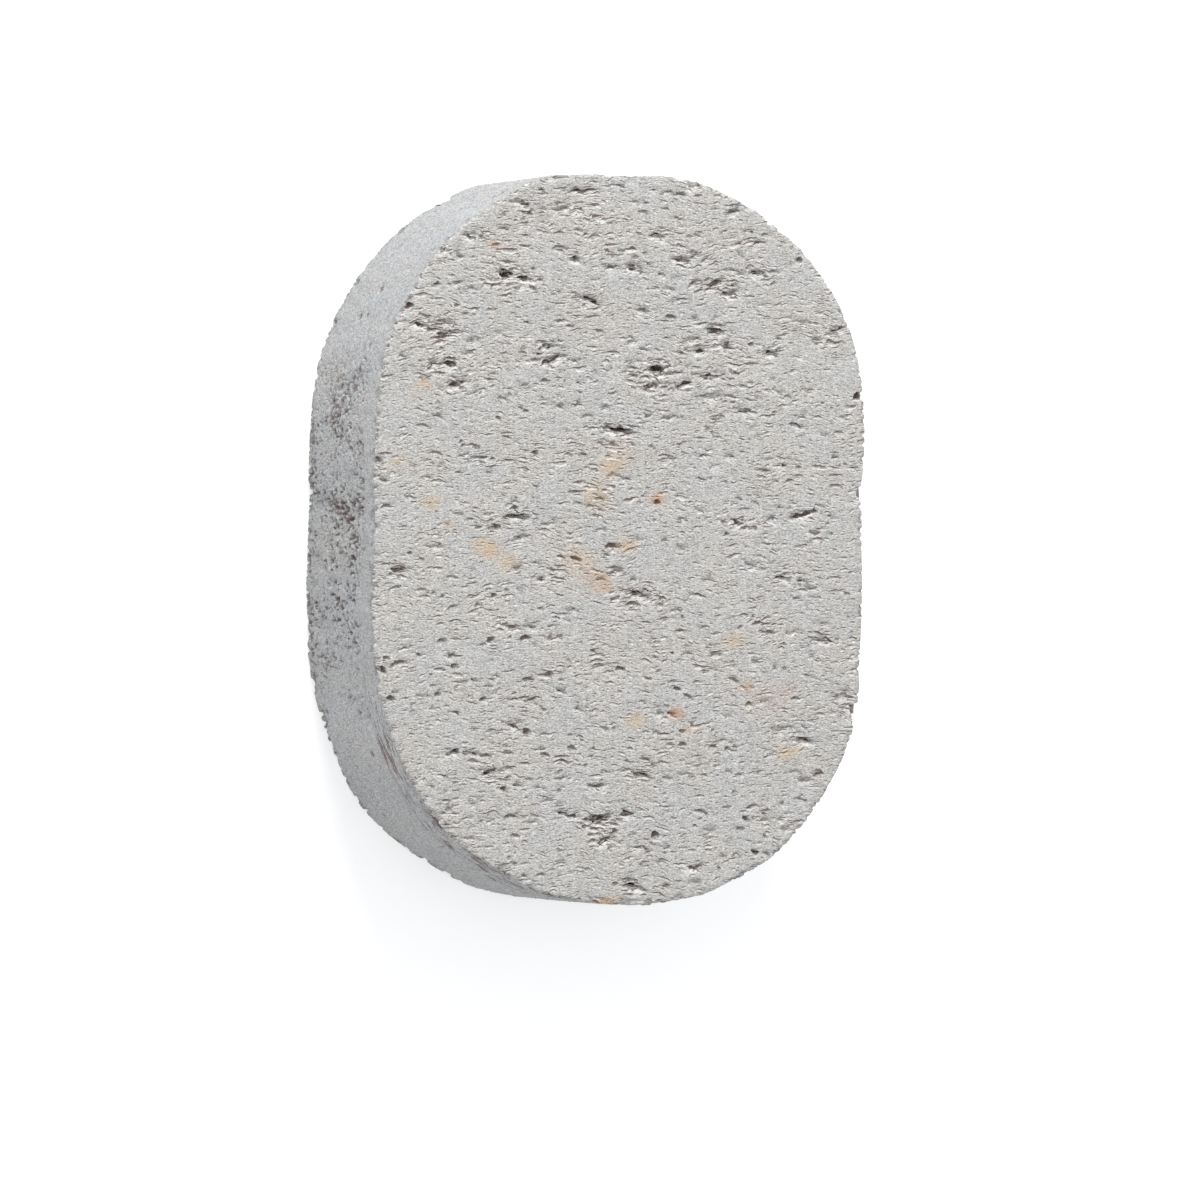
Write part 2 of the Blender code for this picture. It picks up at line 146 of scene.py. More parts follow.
def rim_facing(places):
    """The way the rim faces, level, at the bearing of each place."""
    bearing = np.arctan2(places[:, 1], places[:, 0])
    turns = rim_cell(places)[0]
    reach = around(rim_mean, turns)
    slope = around(rim_slope, turns)
    across = reach * np.cos(bearing) + slope * np.sin(bearing)
    along = reach * np.sin(bearing) - slope * np.cos(bearing)
    size = np.hypot(across, along)
    return across / size, along / size


def ease(values, start, end):
    """0 below start, 1 above end, and a smooth rise between."""
    part = np.clip((values - start) / (end - start), 0.0, 1.0)
    return part * part * (3 - 2 * part)


def cloud(places, lump, layer):
    """Smooth noise from about -1 to 1 at each place, its lumps of a size (x, y, z) in mm."""
    spots = places / (np.array(lump) * MM) + 17.3 * layer
    return np.array([noise.noise(spot) for spot in spots.tolist()])


depth = under_surfaces(points)
opened_from = depth.argmin(axis=1)
on_rim = opened_from == 2
face_across, face_along = rim_facing(points)

# The way into the stone from each point. On both faces the bubbles lean towards the far end.
LEAN = 0.35
into = np.zeros_like(points)
into[:, 1] = LEAN
into[:, 2] = np.where(opened_from == 0, -1.0, 1.0)
into[on_rim, 0] = -face_across[on_rim]
into[on_rim, 1] = -face_along[on_rim]
into[on_rim, 2] = 0.0
into /= np.linalg.norm(into, axis=1)[:, None]


# ---------------------------------------------------------------------------------------------------------
# Torn walls. A bubble in froth has walls of glass threads, so its mouth is ragged, not oval, and threads
# run across its floor. The mouths of the large bubbles are frayed here and their floors made uneven. In the
# longest the threads run the way the bubble was drawn: (x, y, half its length, rise) in mm and degrees.

FRAY_X, FRAY_Y = 0.75, 0.42
FRAY_LUMP = (1.1, 0.6, 0.9)
THREAD_LUMP, STRAY_LUMP = (2.0, 0.42, 5.0), (0.8, 0.3, 3.0)
THREAD_WANDER = 1.8
THREAD_LIFT, HIGHEST_LIFT = 0.85, 1.5

hollow = depth.min(axis=1)
inside_rim = ease(depth[:, 2], 0.9, 2.2)
points[:, 0] += FRAY_X * MM * inside_rim * cloud(points, FRAY_LUMP, 2)
points[:, 1] += FRAY_Y * MM * inside_rim * cloud(points, FRAY_LUMP, 1)

DRAWN_ALONG = [
    (-2.9, -36.3, 2.6, 20), (-2.4, -39.0, 1.8, 34), (-24.1, 26.2, 2.4, 16), (-22.8, 19.8, 2.5, 14),
    (-0.4, 14.0, 2.9, -12), (25.6, 3.3, 2.7, 14), (22.8, -24.6, 2.6, 10), (-9.6, 23.1, 1.7, 26),
    (8.9, 20.0, 1.8, 28), (1.6, -45.0, 1.9, -12), (-16.0, 34.2, 1.7, -22), (12.9, 33.1, 2.6, 24),
    (-4.3, 30.9, 2.2, -20),
]

slanted = points.copy()
slanted[:, 1] += THREAD_WANDER * MM * cloud(points, (8, 8, 12), 20)
for x, y, half, rise_angle in DRAWN_ALONG:
    off_x, off_y = points[:, 0] - x * MM, points[:, 1] - y * MM
    near = (opened_from == 0) & (np.hypot(off_x, off_y) < half * MM)
    slanted[near, 1] = points[near, 1] - math.tan(math.radians(rise_angle)) * off_x[near]
threads = np.abs(cloud(slanted, THREAD_LUMP, 3) + 0.3 * cloud(slanted, STRAY_LUMP, 15))
raised = ease(hollow, 0.15, 0.5) * (1.0 - ease(threads, 0.03, 0.29))
lifted = THREAD_LIFT * raised * np.clip(hollow - 0.12, 0.0, HIGHEST_LIFT)
outwards = np.where(opened_from == 0, 1.0, -1.0) * (opened_from != 2)
points[:, 2] += MM * outwards * lifted


# ---------------------------------------------------------------------------------------------------------
# The finer slits on the upper face. The saw has opened hundreds of bubbles too thin to weaken the stone,
# bowed up a little where the froth was still being drawn. Each is (x, y, length, height, rise of its right
# end) in mm and degrees, from the far end of the face to the near one.

FINE_SLITS = [
    (-11, 45, 1, 0.35, -10), (-16.2, 41.8, 1, 0.35, 0), (-12.6, 41.9, 0.9, 0.4, 0),
    (-13.4, 41.3, 1.2, 0.35, -8), (-1.5, 40.9, 1, 0.35, -10), (-16.2, 39.9, 1.6, 0.4, -8),
    (-8.6, 39.5, 1.8, 0.35, 10), (-5.8, 39.8, 1.8, 0.4, -10), (-13.1, 39.1, 1.1, 0.35, 0),
    (-19.3, 38.9, 0.7, 0.4, 0), (-17.2, 37.9, 1.2, 0.4, 0), (-13.3, 37.7, 1.8, 0.4, -8),
    (-8.4, 37.6, 2.2, 0.4, -4), (-1.9, 37.3, 1, 0.4, -30), (-11.2, 33.4, 1, 0.4, 0),
    (-17.6, 32.6, 1, 0.5, 30), (-12.2, 32.3, 1.5, 0.4, -20), (-6.4, 31.8, 0.9, 0.35, -10),
    (-22.6, 30, 0.9, 0.4, 0), (-21.4, 28.9, 1, 0.45, -10), (-13, 27.9, 1.2, 0.4, -6),
    (-7.1, 27.5, 1.2, 0.35, -6), (-26.1, 26.8, 1.2, 0.5, 10), (-3, 26.9, 1.5, 0.4, 6),
    (-11.2, 24.5, 0.6, 0.4, 0), (-24.7, 24.5, 0.6, 0.35, 0), (-16, 24, 0.8, 0.35, 0),
    (-13.5, 24, 1.2, 0.35, 0), (-30.1, 23.4, 1, 0.4, -8), (-29.1, 29.8, 1.4, 1, 40),
    (-0.1, 45.7, 1.5, 0.35, -14), (3.6, 43.6, 0.6, 0.4, 0), (6.6, 45, 1.5, 0.35, -4),
    (8.3, 44.7, 1.8, 0.5, -4), (10.8, 44.6, 1.6, 0.35, -2), (3.1, 42.3, 1.6, 0.4, -14),
    (7.8, 41.7, 0.9, 0.4, -20), (10.5, 39.5, 1, 0.35, 0), (17.4, 40.1, 0.9, 0.35, 0),
    (18.3, 40, 0.5, 0.4, 0), (20.1, 39.7, 1.2, 0.4, 16), (10.1, 37.2, 1.8, 0.35, -4),
    (20.2, 34.2, 0.7, 0.4, -10), (21.5, 34.9, 1.6, 0.4, -10), (0, 37.3, 1.5, 0.35, -6),
    (1.7, 37.7, 0.8, 0.4, -30), (2.1, 36.6, 1, 0.4, -6), (3.3, 37.1, 0.6, 0.35, 0),
    (3.9, 35.6, 0.7, 0.35, 0), (5.7, 34.3, 1.2, 0.4, -14), (2.7, 34.6, 1, 0.4, -14),
    (21.2, 33.3, 0.5, 0.4, 0), (15.6, 33, 0.4, 0.4, 0), (8.5, 31, 3, 0.35, 4), (7, 28.8, 1.6, 0.6, -10),
    (3.2, 24.6, 1.2, 0.35, -15), (6.3, 26.1, 1, 0.35, 0), (22.1, 26.2, 0.9, 0.35, 0),
    (29.2, 26, 1, 0.4, 6), (18.2, 25.4, 0.9, 0.6, 0), (25, 36.5, 0.9, 0.7, 0),
    (-22.2, 21.7, 0.9, 0.3, -50), (-17.6, 21.2, 1.6, 0.3, 0), (-13.2, 19.8, 1.3, 0.4, 6),
    (-10.5, 20.4, 1.2, 0.5, 0), (-16.3, 18.1, 1.5, 0.4, -16), (-13.8, 16.9, 0.7, 0.35, -20),
    (-13.1, 16.5, 0.9, 0.35, -10), (-16.9, 15.6, 0.9, 0.5, -30), (-25.2, 15.7, 1.6, 0.4, -10),
    (-27.2, 14.5, 2.2, 0.4, -8), (-4.7, 15.9, 1.8, 0.4, 8), (-2.9, 15.3, 0.6, 0.3, 20),
    (-11, 14, 0.6, 0.3, 40), (-22, 12.6, 0.5, 0.5, 60), (-21.7, 12, 0.8, 0.45, 20),
    (-20, 11.7, 1, 0.35, -14), (-15.8, 13.1, 1.6, 0.3, -10), (-2.9, 12.4, 1, 0.35, -6),
    (-1.2, 12.4, 0.8, 0.3, 0), (-25.5, 11, 2.2, 0.4, -8), (-22, 10.6, 1.1, 0.35, -4),
    (-17.7, 10.3, 0.8, 0.4, 10), (-19.2, 9.8, 1.2, 0.35, 10), (-11.9, 11.1, 1.2, 0.6, -20),
    (-7.1, 10.9, 1.3, 0.35, -20), (-5.2, 10.9, 1.5, 0.4, 0), (-24.7, 9.6, 0.9, 0.35, 0),
    (-22.4, 8.5, 1.1, 0.4, 6), (-18.2, 8.5, 0.9, 0.4, 0), (-3.7, 9, 1.2, 0.35, 6),
    (-26.5, 7.8, 2, 0.3, -20), (-29, 5.3, 1.8, 0.35, -10), (-6.6, 6.1, 1.9, 0.4, 4),
    (-2.8, 5.2, 1.3, 0.5, -15), (-11.7, 6.8, 0.9, 0.35, -14), (-14.6, 4.8, 1.4, 0.35, 0),
    (-14.7, 4, 1.3, 0.5, 0), (-5.8, 4.6, 1.6, 0.4, -10), (-4.2, 4.3, 1.4, 0.35, -4),
    (-2.8, 3.8, 1.2, 0.35, -10), (-32.2, 4.1, 1.8, 0.5, 6), (-22.4, 3.2, 1.6, 0.35, 0),
    (-7.8, 2.1, 0.9, 0.35, 0), (-2.8, 1.2, 1.8, 0.35, 0), (-20.8, 2.5, 1.4, 0.35, 0),
    (-19.6, 1.4, 1.5, 0.35, 8), (6.4, 21.4, 1, 0.4, 14), (13.7, 21.1, 0.6, 0.4, 0),
    (16, 21.6, 1.3, 0.4, -6), (23.3, 18.7, 1, 0.4, -10), (6, 19.7, 1.2, 0.4, 6),
    (1.7, 19.6, 0.8, 0.3, 0), (33.2, 18.7, 1.3, 1, 0), (15.2, 18.6, 2, 0.35, -4),
    (15.6, 17.8, 0.8, 0.4, 0), (21.5, 16.6, 0.8, 0.35, 0), (28.2, 17.9, 0.7, 0.35, 0),
    (29.5, 17.2, 0.5, 0.35, 0), (12.2, 14.3, 1.1, 0.35, 0), (25.4, 16, 1, 0.3, 0),
    (30.6, 14, 1.8, 0.35, 4), (8.5, 15.9, 0.5, 0.4, 0), (3.8, 15.9, 1.2, 0.3, 0),
    (12.9, 15.6, 0.9, 0.35, -10), (14, 16, 1, 0.35, 6), (4.3, 11.9, 1.8, 0.35, -25),
    (8.1, 12.3, 0.9, 0.35, -20), (6.6, 10.8, 0.8, 0.35, -20), (6.1, 10.3, 2.4, 0.35, 8),
    (8.8, 11.2, 1.2, 0.35, -8), (11.7, 10.9, 1.5, 0.35, 0), (24.9, 9.4, 1, 0.4, 0),
    (19.7, 9, 2.2, 0.35, -4), (19.7, 8.2, 1.4, 0.3, -10), (30, 10.7, 1.2, 0.35, 4),
    (31.4, 9.9, 0.8, 0.4, -40), (14.6, 7.5, 0.6, 0.4, -40), (21.7, 7.6, 0.9, 0.35, 0),
    (23.6, 7.7, 1.2, 0.4, 14), (0.8, 7.8, 1.3, 0.35, 0), (16.5, 5.3, 1.2, 0.35, -16),
    (17.9, 5.7, 0.8, 0.35, 0), (18.9, 5.9, 0.8, 0.3, 0), (18.7, 4.8, 1.2, 0.3, -10),
    (5.1, 4.8, 0.9, 0.7, 0), (3.1, 5.6, 0.8, 0.35, 0), (17.3, 3.9, 2.2, 0.3, 0),
    (22.2, 4.2, 0.7, 0.4, 0), (14.3, 2.3, 0.9, 0.4, 0), (14.8, 0.7, 0.8, 0.5, 30),
    (8.2, 2.3, 0.7, 0.3, 0), (29.3, 3.1, 0.9, 0.4, -10), (-24.9, -0.9, 1, 0.35, 0),
    (-29, -1.8, 0.6, 0.5, 0), (-27.5, -2.6, 1, 0.4, -6), (-31.7, -4.5, 0.6, 0.5, 0),
    (-30.6, -5, 0.4, 0.3, 0), (-23.4, -4.9, 1.8, 0.35, 6), (-31, -6.3, 2.2, 0.4, 14),
    (-27.5, -6.6, 2, 0.35, 4), (-25.9, -7, 0.8, 0.35, 10), (-17.5, -7.3, 0.9, 0.6, 30),
    (-19.8, -8.4, 0.6, 0.45, 0), (-23.2, -8.8, 1.8, 0.45, 18), (-15.8, -6.5, 0.9, 0.35, 0),
    (-11.7, -3.1, 1.2, 0.35, -14), (-9.6, -4, 1.5, 0.35, -20), (-8, -5.1, 0.5, 0.3, 0),
    (-8.3, -2.3, 1.3, 0.4, -10), (-6.2, -2.6, 2, 0.6, -14), (-1.3, -0.9, 2, 0.8, 4),
    (1.7, -8.4, 2, 0.6, 0), (-2.8, -5.2, 1.6, 0.35, 0), (-2, -2, 0.9, 0.35, 0),
    (-11.1, -9, 1.2, 0.35, -8), (-8.9, -10.1, 0.9, 0.35, -14), (-9.4, -11.2, 1.5, 0.35, 4),
    (-8.5, -12.6, 1, 0.4, 0), (-13.2, -12.8, 1.6, 0.7, 16), (-19.1, -13.6, 1.2, 0.4, 20),
    (-24.6, -13.1, 1.5, 0.6, 10), (-18, -13, 1.1, 0.8, 30), (-27.8, -14.9, 0.7, 0.5, 0),
    (-32.3, -15.2, 0.9, 0.5, 10), (-30.5, -16, 2.6, 0.6, 12), (-32.9, -16.8, 1.6, 0.9, -24),
    (-22.9, -16.4, 1.1, 0.7, 20), (-26.1, -17.4, 0.6, 0.4, 30), (-8.3, -18.2, 0.8, 0.3, 0),
    (-12.9, -18.1, 1.8, 0.6, 0), (-9.9, -17.4, 1.3, 0.7, 20), (-25.9, -18.8, 1, 0.35, 0),
    (-18.3, -19, 1.6, 0.35, -8), (-20.8, -20.2, 0.8, 0.35, 20), (-19, -20.6, 1.1, 0.6, 14),
    (-31.6, -20.5, 1.2, 0.8, -10), (-25.2, -20, 1, 0.6, 10), (-26.5, -20.2, 0.6, 0.4, 30),
    (-27.8, -20.1, 0.8, 0.35, -10), (-31.2, -19.7, 0.9, 0.4, 0), (-28.6, -21.2, 1, 0.35, 14),
    (-26, -21.8, 1.2, 0.35, 10), (-3, -16.3, 2, 0.4, 0), (-0.1, -16.8, 1.5, 0.6, -4),
    (-3.8, -14.5, 1.2, 0.35, -20), (-22.7, -22.4, 1.2, 0.35, -30), (-11, -21.6, 0.8, 0.35, -30),
    (6.1, -0.2, 1.1, 0.4, -4), (2.7, -0.1, 1.2, 0.3, 0), (25.4, -5.4, 1.3, 0.35, -10),
    (1.7, -5.2, 1, 0.4, 14), (7.8, -9.2, 1.6, 0.35, -8), (8.5, -10, 0.6, 0.4, -20),
    (17.1, -9.8, 1.5, 0.4, 6), (18.4, -10, 0.6, 0.35, 0), (19.1, -10.9, 1.6, 0.5, 14),
    (16.6, -11.4, 0.8, 0.35, 20), (11.7, -11.4, 1.5, 0.35, 14), (8.2, -11.9, 1.6, 0.35, 0),
    (13, -14.8, 1.5, 0.35, -8), (7.2, -14.8, 0.6, 0.4, 0), (9.3, -14.9, 2, 0.3, 0),
    (4.7, -15.3, 1.2, 0.35, 6), (22.7, -16.8, 0.6, 0.4, 0), (30.3, -13, 0.7, 0.35, 0),
    (25.9, -17.7, 1.3, 0.35, -8), (11.7, -17.1, 1.3, 0.35, -14), (13.3, -17, 1, 0.3, 10),
    (7.3, -18.4, 1.4, 0.35, 10), (15.8, -18.3, 1.8, 0.5, -30), (7.8, -19.4, 1.1, 0.6, 0),
    (9.3, -20.3, 1.5, 0.5, -24), (17.9, -21.4, 1.1, 0.5, 0), (24.4, -20.7, 1.3, 0.5, 8),
    (3.1, -21, 1, 0.4, -20), (6.4, -21.6, 1, 0.35, 0), (31.7, -7, 1, 0.35, 0),
    (12.2, -5.3, 1.8, 0.35, 0), (10.3, -7.2, 2, 0.3, 0), (24.6, -7.7, 1.4, 0.3, 0),
    (27.1, -7.5, 0.9, 0.3, 0), (18.6, -8.9, 1.2, 0.3, -6), (-5.7, -25.4, 0.8, 0.35, -10),
    (-5.3, -26, 0.6, 0.35, 0), (-7, -25.2, 0.8, 0.35, 0), (-1, -24.4, 0.6, 0.4, 30),
    (-10.5, -25.2, 1.8, 0.3, 0), (-13, -24.8, 1.1, 0.8, 20), (-16, -26.5, 0.9, 0.3, 0),
    (-6.8, -27, 1.4, 0.6, -10), (-10.5, -27.8, 1.6, 0.5, -14), (-18.6, -27.9, 1.8, 0.5, -4),
    (-7.9, -28.7, 2, 0.4, -22), (-3.8, -27, 0.6, 0.3, -20), (-4.9, -29.2, 0.9, 0.4, -6),
    (-8.5, -32.5, 0.9, 0.4, -6), (-10.2, -33.8, 2, 0.35, 8), (-15.5, -30.7, 1.2, 0.35, 6),
    (-12.7, -31, 1.3, 0.35, -14), (-16.2, -32.2, 1, 0.7, -20), (-25.9, -31.8, 0.7, 0.45, -10),
    (-24.3, -30.5, 0.8, 0.35, 6), (-24.1, -33.6, 1.4, 0.35, 6), (-24.3, -35.3, 1.2, 0.3, -4),
    (-20.3, -34.1, 1.1, 0.35, -6), (-15.2, -35.8, 2.2, 0.5, 2), (-14.6, -38.2, 1.3, 0.5, -10),
    (-5.2, -37.2, 0.7, 0.5, -20), (-0.9, -37.9, 1.2, 0.5, 20), (1.6, -38.3, 1.6, 0.3, 14),
    (3.4, -40.1, 1.6, 0.4, -40), (-15.4, -41, 0.8, 0.35, 0), (-11, -43.3, 1.6, 0.35, 0),
    (-13.3, -43.4, 0.9, 0.35, 0), (-4.6, -42.6, 0.9, 0.35, 0), (-0.7, -44.5, 0.8, 0.6, 20),
    (1.2, -44.1, 2.4, 0.4, -2), (8.6, -24.8, 0.9, 0.6, 0), (12.8, -24.8, 0.5, 0.4, 0),
    (12.9, -26.9, 1.2, 0.5, -10), (8.6, -26.6, 1.2, 0.6, 0), (6.9, -26.6, 1.5, 0.35, 0),
    (14.1, -26.1, 1.4, 0.3, 8), (14.8, -27.2, 0.7, 0.5, 20), (4.4, -29.2, 0.6, 0.4, 0),
    (3.4, -28.5, 1.4, 0.5, -8), (0.8, -28.6, 0.5, 0.4, 0), (15, -30.2, 1.4, 0.3, -10),
    (16.4, -30.6, 1.2, 0.35, 0), (24.2, -30.3, 2, 0.3, 6), (27.6, -30.6, 1.6, 0.6, 16),
    (9.2, -30.4, 1.4, 0.35, 6), (11.6, -30.6, 1, 0.35, -24), (15.8, -32.8, 0.7, 0.4, 20),
    (24.9, -33.8, 1.4, 0.35, -10), (25.8, -34, 0.6, 0.4, 0), (14.8, -34.8, 1.5, 0.35, -4),
    (20, -35.7, 0.7, 0.4, -20), (11.2, -35.4, 2.2, 0.5, -16), (17.4, -36.3, 1, 0.7, -40),
    (16.7, -37.6, 1.3, 0.5, 2), (10.3, -37.1, 0.6, 0.4, 0), (20.1, -38.6, 0.7, 0.4, 20),
    (6.7, -39.8, 0.8, 0.35, 0), (20.4, -40.9, 1.2, 0.4, -30), (14.4, -41.2, 1, 0.4, -16),
    (2.8, -42.1, 0.6, 0.35, 0), (6.4, -44.9, 1.2, 0.5, 0), (13.7, -42.7, 0.6, 0.4, 0),
    (3.4, -45.5, 0.8, 0.4, -10),
]

BOW = 0.14
FINE_DEPTH = 1.15
MOUTH_LUMP, MOUTH_RAGGED = (0.45, 0.22, 0.5), 0.5

fine = np.zeros(len(points))
ground = np.flatnonzero((opened_from == 0) & (hollow < 0.5))
ground_x, ground_y = points[ground, 0] / MM, points[ground, 1] / MM
uneven = MOUTH_RAGGED * cloud(points[ground], MOUTH_LUMP, 21)
for x, y, length, height, rise_angle in FINE_SLITS:
    within = (np.abs(ground_y - y) < 0.6 * length + 0.3) & (np.abs(ground_x - x) < 0.65 * length)
    near = np.flatnonzero(within)
    turn = math.radians(rise_angle)
    off_x, off_y = ground_x[near] - x, ground_y[near] - y
    along = (off_x * math.cos(turn) + off_y * math.sin(turn)) * 2 / length
    over = off_y * math.cos(turn) - off_x * math.sin(turn)
    over = (over - BOW * length * (0.5 - along ** 2)) * 2 / height
    fullness = np.clip(1.0 + uneven[near] - along ** 2 - over ** 2, 0.0, 1.0)
    fine[ground[near]] = np.maximum(fine[ground[near]], FINE_DEPTH * height * fullness ** 0.5)


# ---------------------------------------------------------------------------------------------------------
# The small bubbles. The froth froze while it was being drawn out along X, so they are flattened threads:
# long in X, thin in Y, taller in Z. Both faces cut them along their length. The rim cuts their ends, which
# stand open in crowds where it crosses the grain, and are rubbed shut at the two ends and along the edges.
# RIM_STATE gives how open they stand, and by what factor the ground rim's colour is made lighter or darker,
# at bearings in degrees from +X.

grain = points.copy()
grain[:, 1] += MM * (1.5 * cloud(points, (10, 10, 16), 4) + 0.45 * cloud(points, (2.6, 2.6, 5), 5))
grain[:, 1] += MM * 0.12 * cloud(points, (0.9, 0.9, 2), 22)
crowding = cloud(points, (7, 5, 9), 6)

CELL = 0.25
COLUMNS, ROWS = (int((high - low) / MM / CELL) + 3 for low, high in zip(cad_low.xy, cad_high.xy))
SPREAD_ALONG, SPREAD_ACROSS = 70, 16
WELL_OPEN = 0.35

company = np.zeros(len(points))
slit_lip_highlight = np.zeros(len(points))
columns = ((points[:, 0] - cad_low.x) / MM / CELL).astype(int) + 1
rows = ((points[:, 1] - cad_low.y) / MM / CELL).astype(int) + 1
for side in (0, 1):
    here = opened_from == side
    open_ground = np.zeros((COLUMNS, ROWS))
    deep = here & (hollow > WELL_OPEN)
    open_ground[columns[deep], rows[deep]] = 1.0
    # Painted highlight: the face 0.5 to 0.75 mm below each well-open bubble in Y is kept, to be painted as
    # a lit lip.
    slit_highlight_rows = (np.roll(open_ground, -2, axis=1) + np.roll(open_ground, -3, axis=1)) / 2
    slit_lip_highlight[here] = slit_highlight_rows[columns[here], rows[here]]
    for axis, turns in ((0, SPREAD_ALONG), (1, SPREAD_ACROSS)):
        for _ in range(turns):
            open_ground += (np.roll(open_ground, 1, axis) + np.roll(open_ground, -1, axis)) / 2
            open_ground /= 2
    company[here] = open_ground[columns[here], rows[here]]
company = np.clip(company / WELL_OPEN, 0.0, 1.0)

to_edge = np.sort(depth, axis=1)[:, 1]

RIM_STATE = [
    (-180, 1.0, 1.04), (-162, 1.0, 1.04), (-152, 0.45, 1.10), (-142, 0.14, 1.12), (-130, 0.05, 0.99),
    (-110, 0.03, 1.0), (-45, 0.1, 1.0), (-25, 0.8, 1.0), (0, 1.0, 1.0), (25, 0.8, 1.0), (45, 0.1, 1.0),
    (90, 0.03, 0.97), (135, 0.02, 1.0), (146, 0.3, 1.09), (155, 0.8, 1.10), (165, 1.0, 1.04),
    (180, 1.0, 1.04),
]


def open_threads(size, share, deepest, layer, crowd, where):
    """How deep one size of thin bubble is opened on one surface, in mm."""
    glass = np.full(len(points), 9.0)
    spots = grain[where]
    glass[where] = cloud(spots, size, layer) + 0.45 * cloud(spots, np.array(size) * 0.47, layer + 1)
    glass[where] += crowd[where]
    brink = np.quantile(glass[where], share)
    fullness = np.clip((brink - glass) / (brink - glass[where].min()), 0.0, 1.0)
    return deepest * fullness ** 0.6


FACE_THREAD, UNDER_THREAD = (1.5, 0.36, 0.9), (2.2, 0.5, 1.6)
RIM_THREAD, RIM_CHANNEL = (3.0, 0.42, 0.8), (4.0, 0.95, 1.5)

on_face = ~on_rim
underneath = opened_from == 1
face_crowd = 0.15 * crowding - 0.5 * company
sunk = open_threads(FACE_THREAD, 0.045, 0.7, 8, face_crowd, on_face)
sunk *= 0.6 + 0.7 * company + 0.5 * crowding
sunk = np.maximum(sunk, open_threads(UNDER_THREAD, 0.035, 1.0, 10, face_crowd, underneath))
sunk *= ease(to_edge, 0.15, 0.9)
sunk = np.maximum(sunk, fine * ease(to_edge, 0.05, 0.4))

bearing = np.arctan2(points[:, 1], points[:, 0])
rim_bearings, rim_open, rim_pale = zip(*RIM_STATE)
across_grain = np.interp(np.degrees(bearing), rim_bearings, rim_open)
rim_clumps = cloud(points, (14, 5, 7), 19)
rubbed_edge = ease(depth[:, 0] + 3.0 * cloud(points, (9, 9, 5), 7), 2.5, 7.5)
rubbed_edge *= ease(depth[:, 1], 0.2, 1.0)
rim_opening = across_grain * rubbed_edge
holes = open_threads(RIM_THREAD, 0.24, 1.3, 16, -0.55 * rim_clumps, on_rim)
holes = np.maximum(holes, open_threads(RIM_CHANNEL, 0.045, 1.8, 18, -0.5 * rim_clumps, on_rim))
opened = np.clip(np.where(on_rim, holes * rim_opening, sunk), 0.0, None)


# ---------------------------------------------------------------------------------------------------------
# The ground between the bubbles. Grinding has left the rim gritty and a little dented, with small bites out
# of it by both faces and wherever its holes stand open. The saw has left the faces nearly smooth.

GROUND_GRIT, FACE_GRIT = 0.14, 0.035
RIM_DENT, RIM_BITE = 0.34, 0.50

grit = 1.0 + 0.6 * cloud(points, (0.36, 0.36, 0.36), 23) + 0.6 * cloud(points, (1.2, 1.2, 1.2), 24)
thread_relief = 1.0 + cloud(grain, (0.8, 0.30, 0.6), 12)
dents = ease(cloud(points, (2.8, 2.8, 1.9), 26) + 0.5 * cloud(points, (1.1, 1.1, 0.8), 27), 0.0, 0.7)
bites = ease(cloud(points, (1.7, 1.7, 3.4), 28) + 0.3 * cloud(points, (0.6, 0.6, 0.6), 29), 0.18, 0.42)
crumbly = 1.0 - ease(np.minimum(depth[:, 0], depth[:, 1]), 0.6, 2.6)
rim_relief = GROUND_GRIT * grit + np.maximum(crumbly, 0.4) * RIM_DENT * dents
rim_relief += np.maximum(crumbly, 0.35 * rim_opening) * RIM_BITE * bites
sunk = opened + np.where(on_rim, rim_relief, FACE_GRIT * thread_relief)


# ---------------------------------------------------------------------------------------------------------
# The worn edges. Where a face meets the rim the glass is thinnest, and crumbs of it have broken away, most
# where a bubble lay just behind.

EDGE_WEAR = 0.55
crumbs = ease(cloud(points, (2.0, 0.55, 1.2), 13) + 0.6 * cloud(points, (0.6, 0.40, 0.5), 14), -0.05, 0.7)
worn = EDGE_WEAR * crumbs * (1.0 - ease(to_edge, 0.1, 1.2)) * (1.0 - ease(hollow, 0.3, 1.2))
down = np.where(depth[:, 0] < depth[:, 1], -1.0, 1.0)
corner_way = np.stack((-face_across, -face_along, down), axis=1) / math.sqrt(2.0)

points += MM * (into * sunk[:, None] + corner_way * worn[:, None])
points = np.clip(points, np.array(cad_low), np.array(cad_high))
stone.data.vertices.foreach_set("co", points.astype(np.float32).ravel())
stone.data.update()


# ---------------------------------------------------------------------------------------------------------
# What the finish needs to know at each point: how deep it lies, which sets the brown and the painted shade
# inside its bubbles, how many bubbles keep it company, if it is rim or face, and where a painted highlight
# lies just below a slit. Iron in the glass has rusted in soft blots, here as (x, y, radius, strength) on
# the upper face, and where the rim turns to the near end it follows the threads, which show as brown cracks
# along it.

